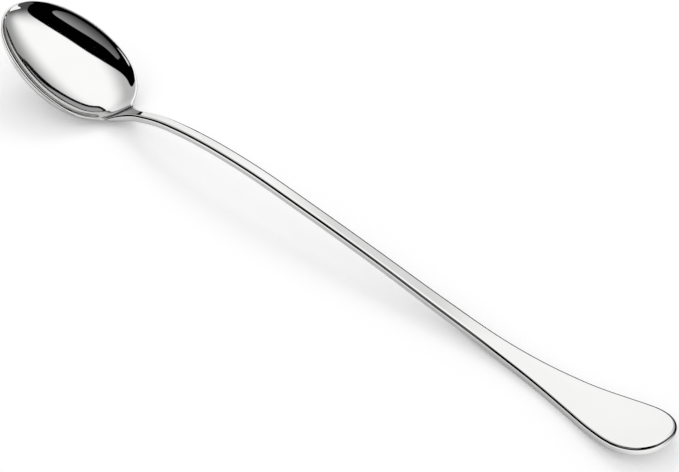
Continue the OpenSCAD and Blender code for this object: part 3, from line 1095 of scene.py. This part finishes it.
def hang_glow(name: str, mesh: bpy.types.Mesh, attribute: str, values: np.ndarray, glow: ToneGlow) -> None:
    """Hangs up a glowing thing that only the steel mirrors.

    Args:
        name: The name of the object.
        mesh: Its mesh.
        attribute: The attribute of its points that the glow reads.
        values: The attribute's value at each point.
        glow: Its finish.
    """
    mesh.attributes.new(attribute, "FLOAT", "POINT").data.foreach_set("value", values)
    mesh.materials.append(glow.material())
    mirrored_only(put_in_scene(name, mesh))


class Edge(Enum):
    """How the tone of a screen changes across it."""

    EVEN = "even"
    FADING = "fading"


@dataclass(frozen=True)
class Screen:
    """A grey or black screen on the studio's dome.

    The corners are in degrees on a round chart of the dome: its middle is straight up, its rim the horizon,
    with x and y as in the frame. Tones are as seen, from 0 for black to 1 for white. A fading screen goes from
    its tone to its far tone between the two values of y in "fade".
    """

    name: str
    corners: tuple
    tone: float
    softness: float
    edge: Edge = Edge.EVEN
    far_tone: float = 0.0
    fade: tuple = (0.0, 0.0)

    def lay(self, tones: np.ndarray, x: np.ndarray, y: np.ndarray) -> np.ndarray:
        """Lays the screen over the tones so far, by a soft step over the distance inside its outline.

        Args:
            tones: The tones of the dome so far.
            x: The chart's first coordinate of each point.
            y: The chart's second coordinate of each point.

        Returns:
            The new tones.
        """
        own = np.full_like(x, self.tone)
        if self.edge is Edge.FADING:
            own += (self.far_tone - self.tone) * np.clip((self.fade[0] - y) / (self.fade[0] - self.fade[1]), 0, 1)
        return tones + (own - tones) * smooth_step(0.5 + self._depth(x, y) / self.softness)

    def _depth(self, x: np.ndarray, y: np.ndarray) -> np.ndarray:
        """Gives how far inside the outline each point lies: the least distance to any side, below zero outside.

        A point is inside if a line from it along x crosses the outline an odd number of times.

        Args:
            x: The chart's first coordinate of each point.
            y: The chart's second coordinate of each point.

        Returns:
            The distances, in degrees.
        """
        line = smooth_outline(self.corners)
        points = np.stack([x.ravel(), y.ravel()], -1)
        nearest = np.full(len(points), np.inf)
        inside = np.zeros(len(points), bool)
        for start, end in zip(line, np.roll(line, -1, axis=0)):
            side, offset = end - start, points - start
            share = np.clip(offset @ side / (side @ side), 0, 1)
            nearest = np.minimum(nearest, np.hypot(*(offset - share[:, None] * side).T))
            crosses = (start[1] > points[:, 1]) != (end[1] > points[:, 1])
            if side[1]:
                inside ^= crosses & (offset[:, 0] < side[0] * offset[:, 1] / side[1])
        return (np.where(inside, 1, -1) * nearest).reshape(x.shape)


@dataclass(frozen=True)
class Falloff:
    """An even darkening of the dome towards one side, as far from a soft box, in degrees on its chart."""

    towards: tuple
    start: float
    end: float
    tone: float

    def lay(self, tones: np.ndarray, x: np.ndarray, y: np.ndarray) -> np.ndarray:
        """Darkens the tones of the chart's points by a soft step over the distance along the direction."""
        along = x * self.towards[0] + y * self.towards[1]
        return tones * (1 - (1 - self.tone) * smooth_step((along - self.start) / (self.end - self.start)))


@dataclass(frozen=True)
class Card:
    """An upright flat card behind the spoon, seen only as a mirror image in the steel.

    Its corners are places along the spoon and heights, in millimetres in the frame. It stands at a distance
    behind the frame's middle that grows by its slant along the spoon. It fades out over a share of its size
    from the outline inwards, and its back isn't seen.
    """

    name: str
    behind: float
    corners: tuple
    level: float
    softness: float = 0.001
    slant: float = 0.0

    def build(self) -> None:
        """Makes the card: a ring of faces that fades out round one even face, wound to look at the spoon."""
        outline = smooth_outline(self.corners)
        x, z = outline.T
        if np.sum(x * np.roll(z, -1) - np.roll(x, -1) * z) < 0:
            outline = outline[::-1]
        inside = outline + (outline.mean(0) - outline) * self.softness
        flat = np.concatenate([outline, inside])
        points = np.stack([flat[:, 0], self.behind + self.slant * flat[:, 0], flat[:, 1]], -1)
        count = len(outline)
        number = np.arange(count)
        after = np.roll(number, -1)
        ring = np.stack([number, after, after + count, number + count], -1).tolist()
        mesh = new_mesh(self.name, points * METRES, ring + [(number + count).tolist()])
        glow = SheetGlow(self.name, self.level, one_sided=True)
        hang_glow(self.name, mesh, "cover", np.repeat([0.0, 1.0], count), glow)


@dataclass
class FarStrip:
    """A low black strip on the table along the spoon's far side, seen only in its far edges.

    Gaps and heights are in millimetres, and the angles on the rim in degrees, from 180 at the tip.
    """

    form: SpoonForm
    origin: float
    bowl_gap: float = 4.0
    bowl_above: float = 1.5
    first_angle: float = 152.0
    last_angle: float = 90.0
    rim_points: int = 90
    handle_gap: float = 3.0
    handle_above: float = 2.0
    seat_gap: float = 2.0
    side_points: int = 160
    end_points: int = 41
    fading_points: int = 16
    table_gap: float = 0.02

    def build(self) -> None:
        """Makes one strip beside the bowl's rim and one beside the handle and round its end."""
        form, s = self.form, self.form.s
        rim = form.rim_outline(np.radians(np.linspace(self.first_angle, self.last_angle, self.rim_points)))
        self._strip("dark_strip_bowl", raised(rim, form.top_height(rim[:, 0], rim[:, 1])),
                    self.bowl_gap, self.bowl_above)
        x = np.linspace(form.seat_x + self.seat_gap, form.widest_x, self.side_points)
        turn = np.linspace(0, QUARTER_TURN, self.end_points)[1:]
        end = oval_quarter(s.end_length, s.paddle_width / 2, s.end_fullness, turn) + [form.widest_x, 0]
        path = np.concatenate([np.stack([x, form.width(x)], -1), end])
        self._strip("dark_strip_handle", raised(path, form.top(path[:, 0])), self.handle_gap, self.handle_above)

    def _strip(self, name: str, edge: np.ndarray, gap: float, above: float) -> None:
        """Makes a strip that keeps its distance from an edge, from the table to a little above that edge.

        It stands square to the edge's run in plan, and it fades out towards both ends.

        Args:
            name: The name of the strip.
            edge: The points of the edge, in the spoon's own lengths, with the far side on the left.
            gap: How far the strip stands from the edge.
            above: How far it reaches over the edge.
        """
        edge = self.form.leaning(edge) - np.array([self.origin, 0, 0])
        travel = np.gradient(edge[:, :2], axis=0)
        aside = np.stack([-travel[:, 1], travel[:, 0]], -1) / np.linalg.norm(travel, axis=1, keepdims=True)
        plan = edge[:, :2] + gap * aside
        points = np.concatenate([raised(plan, np.full(len(edge), self.table_gap)), raised(plan, edge[:, 2] + above)])
        number = np.arange(len(points)).reshape(2, -1)
        mesh = new_mesh(name, points * METRES, squares(number[:1], number[1:]).reshape(-1, 4).tolist())
        cover = np.clip(np.minimum(number[0], number[0][::-1]) / self.fading_points, 0, 1)
        hang_glow(name, mesh, "cover", np.tile(cover, 2), SheetGlow(name))


@dataclass
class Dome:
    """The white tent over the table, with the screens in it, which only the polished steel mirrors.

    Its radius is in metres. A tone as seen gives a strength by the display's power, times that of the white.
    """

    radius: float = 2.9
    columns: int = 480
    rings: int = 120
    white: float = 1.36
    display_power: float = 2.2
    layers: tuple = (
        Falloff(towards=(0.99, -0.14), start=0.0, end=44.0, tone=0.30),
        Falloff(towards=(-0.697, -0.717), start=8.0, end=34.0, tone=0.72),
        Falloff(towards=(0.0, 1.0), start=36.0, end=66.0, tone=0.74),
        Falloff(towards=(-0.3, 0.95), start=40.0, end=72.0, tone=0.80),
        Screen("low_window", ((-58, 34), (-84, 44), (-90, 60), (-76, 60), (-62, 44)), tone=1.0, softness=4.0),
        Screen("dark_doorway", (
            (-13, 75), (-34, 67), (-50, 56), (-62, 68), (-42, 88), (-12, 94)), tone=0.03, softness=3.0),
        Screen("black_screen", (
            (-76, -5), (-59, -7), (-48.6, -12.8), (-41, -18.6), (-33, -19.8), (-24.2, -18.2), (-11.8, -11.4),
            (-5.2, -4.7), (0.2, 0.8), (5.3, 6.1), (12.6, 11.4), (20.5, 14.6), (29, 14.8), (38, 11.6), (48, 4),
            (60, -8), (64, -30), (45, -65), (0, -84), (-40, -76), (-72, -50), (-82, -24)),
            tone=0.02, softness=1.5),
        Screen("grey_window", (
            (-32, -50), (-28, -42), (-24, -36.6), (-13.4, -36.2), (-4.3, -30.6), (2.9, -25.0), (9.2, -22.6),
            (17.6, -22.8), (24, -31), (23.5, -48), (12, -66), (-8, -70), (-24, -66)),
            tone=0.56, softness=1.2, edge=Edge.FADING, far_tone=0.26, fade=(-24.0, -66.0)),
    )

    def build(self) -> None:
        """Makes the dome: a half sphere of columns and rings, with its tone as an attribute."""
        turn = np.linspace(0, 2 * math.pi, self.columns, endpoint=False)
        rise = np.linspace(0, QUARTER_TURN, self.rings + 1)[:-1]
        turn, rise = np.meshgrid(turn, rise, indexing="ij")
        points = self.radius * np.stack([np.cos(rise) * np.cos(turn), np.cos(rise) * np.sin(turn), np.sin(rise)], -1)
        number = np.arange(turn.size).reshape(turn.shape)
        following = np.roll(number, -1, axis=0)
        faces = squares(number, following).reshape(-1, 4).tolist()
        faces += fan(turn.size, following[:, -1], number[:, -1])
        mesh = new_mesh("studio_dome", np.append(points.reshape(-1, 3), [[0, 0, self.radius]], axis=0), faces)
        drop = 90 - np.degrees(rise)
        x, y = drop * np.cos(turn), drop * np.sin(turn)
        tones = np.ones_like(x)
        for layer in self.layers:
            tones = layer.lay(tones, x, y)
        level = self.white * np.append(tones.ravel(), tones[:, -1].mean()) ** self.display_power
        hang_glow("studio_dome", mesh, "tone", level, ToneGlow("studio_dome"))


@dataclass
class SoftLamp:
    """The one soft lamp, high behind the bowl on its left, in metres and watts."""

    size: float = 0.5
    power: float = 2.2
    towards: tuple = (-0.56, 0.57, 0.60)
    distance: float = 1.2

    def build(self) -> None:
        """Makes the lamp, a round one that looks at the frame's middle and that isn't seen itself."""
        light = bpy.data.lights.new("soft_lamp", "AREA")
        light.shape = "DISK"
        light.size = self.size
        light.energy = self.power
        lamp = put_in_scene("soft_lamp", light)
        towards = Vector(self.towards).normalized()
        lamp.location = towards * self.distance
        lamp.rotation_mode = "QUATERNION"
        lamp.rotation_quaternion = towards.to_track_quat("Z", "Y")
        lamp.visible_camera = lamp.visible_glossy = False


@dataclass
class Studio:
    """The white table, the even light, and the dome and cards round the spoon. The table's size is in metres."""

    table_size: float = 6.0
    sky: float = 0.82
    table: WhiteTable = field(default_factory=WhiteTable)
    lamp: SoftLamp = field(default_factory=SoftLamp)
    dome: Dome = field(default_factory=Dome)
    cards: tuple = (
        Card("black_card", 71, (
            (-124.8, 31), (-123.5, 34.6), (-122.1, 41), (-120.8, 45.5), (-120.2, 52.5), (-122.2, 57.5),
            (-125.8, 61.8), (-130.6, 66.2), (-135.5, 70.8), (-141.5, 80.5), (-150, 89), (-161, 82), (-172, 62),
            (-172, 26), (-145, 21), (-130, 25)), level=0.002),
        Card("grey_card", 70, (
            (-123.3, 38.6), (-123.1, 44), (-124.7, 49.9), (-128, 54.4), (-133, 58.7), (-136, 62.5),
            (-142.5, 71), (-150, 75), (-160, 65), (-163, 50), (-160, 34), (-150, 27), (-138, 28), (-129, 31.5),
            (-124.3, 35)), level=0.46),
        Card("neck_card", 24, (
            (-103, 1), (-103, 11), (-96, 19), (-88, 27), (-77, 39), (-66, 48), (-60, 46), (-66, 30), (-72, 16),
            (-78, 6), (-80, 0.5)), level=1.3, softness=0.05),
        Card("paddle_card", 20, ((28, 48), (34, 79), (47, 88), (53, 66), (51, 33), (41, 19), (31, 27)),
             level=1.3, softness=0.3, slant=1.0),
        Card("shank_card", 75, ((-43, 44), (-23, 94), (-2, 113), (12, 110), (-2, 69), (-23, 42)),
             level=0.98, softness=0.55, slant=1.0),
    )

    def build(self) -> None:
        """Makes the table, the world, the lamp, the dome and the cards."""
        self._lay_table()
        self._world()
        self.lamp.build()
        self.dome.build()
        for card in self.cards:
            card.build()
        LOG.info("studio: %d layers on the dome, %d cards", len(self.dome.layers), len(self.cards))

    def _lay_table(self) -> None:
        """Makes the table, one level square under the spoon."""
        corners = self.table_size / 2 * np.array([(-1, -1, 0), (1, -1, 0), (1, 1, 0), (-1, 1, 0)])
        mesh = new_mesh("white_table", corners, [(0, 1, 2, 3)])
        mesh.materials.append(self.table.material())
        put_in_scene("white_table", mesh)

    def _world(self) -> None:
        """Makes the white surroundings: full white where seen or mirrored, and softer as light."""
        world = bpy.data.worlds.new("white_room")
        world.use_nodes = True
        kit = NodeKit(world.node_tree)
        camera = kit.node("ShaderNodeLightPath", output="Is Camera Ray")
        glossy = kit.node("ShaderNodeLightPath", output="Is Glossy Ray")
        through = kit.node("ShaderNodeLightPath", output="Is Transmission Ray")
        shown = camera.highest(glossy).highest(through)
        room = kit.node("ShaderNodeBackground", {}, {"Color": WHITE, "Strength": self.sky + shown * (1 - self.sky)})
        kit.node("ShaderNodeOutputWorld", {}, {"Surface": room})
        bpy.context.scene.world = world


@dataclass(frozen=True)
class PhotoCamera:
    """The camera of the photograph: its angles in degrees, its target and distance in millimetres.

    The focal length is in pixels of the photograph, the sensor's width in millimetres, and the nearest and
    farthest thing that it sees in metres.
    """

    azimuth: float = 45.96
    elevation: float = 36.0
    target: tuple = (124.43, 0.71, 4.87)
    distance: float = 418.63
    focal_pixels: float = 1794.7
    sensor_width: float = 36.0
    nearest: float = 0.01
    farthest: float = 50.0

    def build(self, origin: float) -> None:
        """Makes the camera and sets it for the scene.

        Args:
            origin: Where the frame's zero lies along the spoon, in millimetres from the rim's tip.
        """
        turn, tilt = math.radians(self.azimuth), math.radians(self.elevation)
        back = Vector((math.sin(turn) * math.cos(tilt), -math.cos(turn) * math.cos(tilt), math.sin(tilt)))
        right = Vector((math.cos(turn), math.sin(turn), 0))
        rise = back.cross(right)
        data = bpy.data.cameras.new("photo_camera")
        data.sensor_fit, data.sensor_width = "HORIZONTAL", self.sensor_width
        data.lens = self.focal_pixels * self.sensor_width / PHOTO_WIDTH
        data.clip_start, data.clip_end = self.nearest, self.farthest
        camera = put_in_scene("photo_camera", data)
        place = (Vector(self.target) - Vector((origin, 0, 0)) + back * self.distance) * METRES
        camera.matrix_world = Matrix((
            (right.x, rise.x, back.x, place.x), (right.y, rise.y, back.y, place.y),
            (right.z, rise.z, back.z, place.z), (0, 0, 0, 1)))
        bpy.context.scene.camera = camera


def main() -> None:
    """Loads the frame, builds the spoon's pieces and their studio, and keeps both boxes."""
    logging.basicConfig(level=logging.INFO, format="%(name)s: %(message)s")
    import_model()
    form = SpoonForm(SpoonSizes())
    origin = form.s.spoon_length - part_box("handle")[1].x / METRES
    steel = PolishedSteel().material()
    for maker in (BowlPiece(form, origin), HandlePiece(form, origin)):
        piece = maker.build()
        maker.dress(piece, steel)
        LOG.info("%s: %d faces, stands for %s", piece.name, len(piece.data.polygons), maker.node)
    Studio().build()
    FarStrip(form, origin).build()
    PhotoCamera().build(origin)
    bpy.context.scene.view_settings.view_transform = "Standard"


if __name__ == "__main__":
    main()
